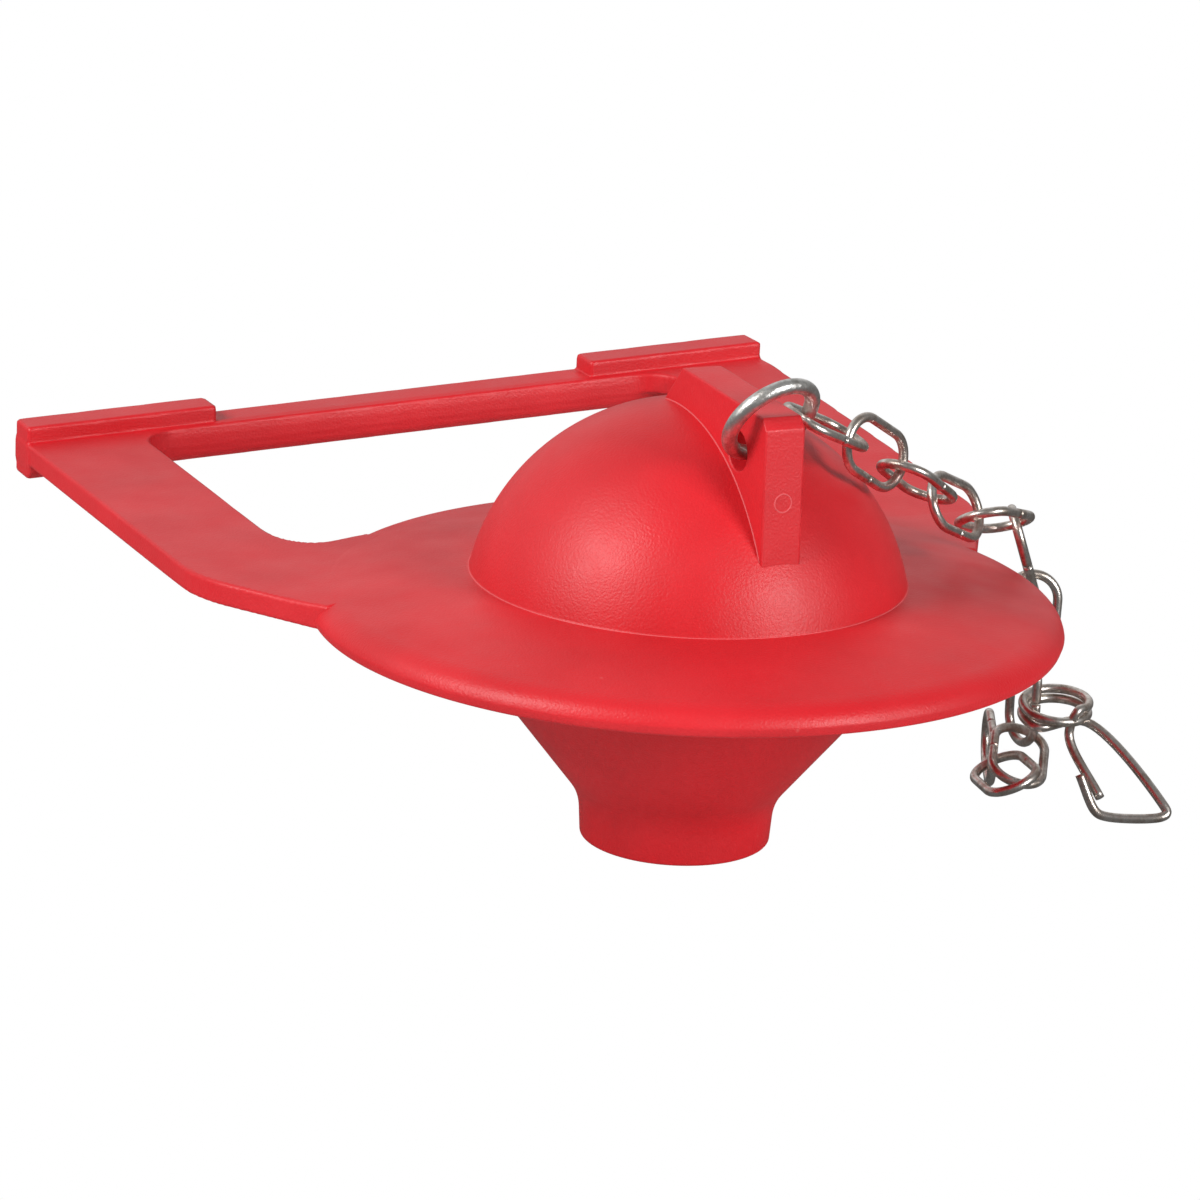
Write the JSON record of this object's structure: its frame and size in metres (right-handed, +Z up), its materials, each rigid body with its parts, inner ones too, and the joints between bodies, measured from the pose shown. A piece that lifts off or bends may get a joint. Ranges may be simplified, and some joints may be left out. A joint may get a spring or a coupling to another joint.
{
  "type": "toilet flapper",
  "caption": "Rubber toilet flapper: seal disc with hollow bulb, windowed hinge frame and lifting fin, with a steel ring, wire chain and bent wire clip.",
  "frame": {"origin": "middle of the hinge bar's flat rear face", "axes": "+Y out of the hinge bar's rear face, away from the seal disc; +Z up, along the disc's axis, on the side of the dome and fin; +X towards the side on which the chain hangs"},
  "size_m": [0.1059, 0.128, 0.0579],
  "materials": {
    "rubber": "matt moulded rubber with a faint sheen",
    "ring_steel": "dull galvanised wire",
    "wire_steel": "drawn stainless wire"
  },
  "bodies": {
    "flapper": {"flapper_body": "rubber"},
    "ring": {"lift_ring": "ring_steel"},
    "link_01": {"chain_link_01": "wire_steel"},
    "link_02": {"chain_link_02": "wire_steel"},
    "link_03": {"chain_link_03": "wire_steel"},
    "link_04": {"chain_link_04": "wire_steel"},
    "link_05": {"chain_link_05": "wire_steel"},
    "link_06": {"chain_link_06": "wire_steel"},
    "link_07": {"chain_link_07": "wire_steel"},
    "link_08": {"chain_link_08": "wire_steel"},
    "link_09": {"chain_link_09": "wire_steel"},
    "link_10": {"chain_link_10": "wire_steel"},
    "link_11": {"chain_link_11": "wire_steel"},
    "clip": {"hook_clip": "wire_steel"}
  },
  "joints": [
    {"name": "ring_swing", "type": "hinge", "parent": "flapper", "child": "ring", "pos_m": [0, -0.1007, 0.01995], "axis": [1, 0, 0], "range_deg": [-6, 3]},
    {"name": "link_01_swing", "type": "hinge", "parent": "ring", "child": "link_01", "pos_m": [0.00503, -0.10228, 0.02391], "axis": [0.1255, -0.5375, 0.8339], "range_deg": [0, 8]},
    {"name": "link_02_swing", "type": "hinge", "parent": "link_01", "child": "link_02", "pos_m": [0.01278, -0.09946, 0.01977], "axis": [0.1955, -0.9538, -0.2281], "range_deg": [0, 15]},
    {"name": "link_03_swing", "type": "hinge", "parent": "link_02", "child": "link_03", "pos_m": [0.02024, -0.09638, 0.01513], "axis": [-0.4371, -0.245, -0.8654], "range_deg": [0, 15]},
    {"name": "link_04_swing", "type": "hinge", "parent": "link_03", "child": "link_04", "pos_m": [0.0273, -0.09286, 0.01021], "axis": [0.4813, -0.8741, 0.0655], "range_deg": [0, 15]},
    {"name": "link_05_swing", "type": "hinge", "parent": "link_04", "child": "link_05", "pos_m": [0.03492, -0.08904, 0.00649], "axis": [-0.1433, -0.5293, -0.8362], "range_deg": [0, 15]},
    {"name": "link_06_swing", "type": "hinge", "parent": "link_05", "child": "link_06", "pos_m": [0.04259, -0.08451, 0.00383], "axis": [0.5651, -0.714, 0.4134], "range_deg": [0, 15]},
    {"name": "link_07_swing", "type": "hinge", "parent": "link_06", "child": "link_07", "pos_m": [0.04645, -0.08297, -0.00449], "axis": [0.3017, 0.9024, 0.3076], "range_deg": [-15, 8]},
    {"name": "link_08_swing", "type": "hinge", "parent": "link_07", "child": "link_08", "pos_m": [0.04578, -0.08372, -0.01374], "axis": [-0.932, 0.3604, 0.0386], "range_deg": [-15, 15]},
    {"name": "link_09_swing", "type": "hinge", "parent": "link_08", "child": "link_09", "pos_m": [0.04569, -0.08404, -0.02303], "axis": [0.021, 0.9992, -0.0349], "range_deg": [-8, 12]},
    {"name": "link_10_swing", "type": "hinge", "parent": "link_09", "child": "link_10", "pos_m": [0.04013, -0.09276, -0.02464], "axis": [-0.8537, 0.4517, 0.2592], "range_deg": [0, 10]},
    {"name": "link_11_swing", "type": "hinge", "parent": "link_10", "child": "link_11", "pos_m": [0.04215, -0.08371, -0.02527], "axis": [-0.8928, 0.1704, -0.4169], "range_deg": [0, 12]},
    {"name": "clip_swing", "type": "hinge", "parent": "link_08", "child": "clip", "pos_m": [0.04567, -0.08691, -0.01793], "axis": [-0.0098, -0.0347, -0.9994], "range_deg": [-20, 20]}
  ]
}
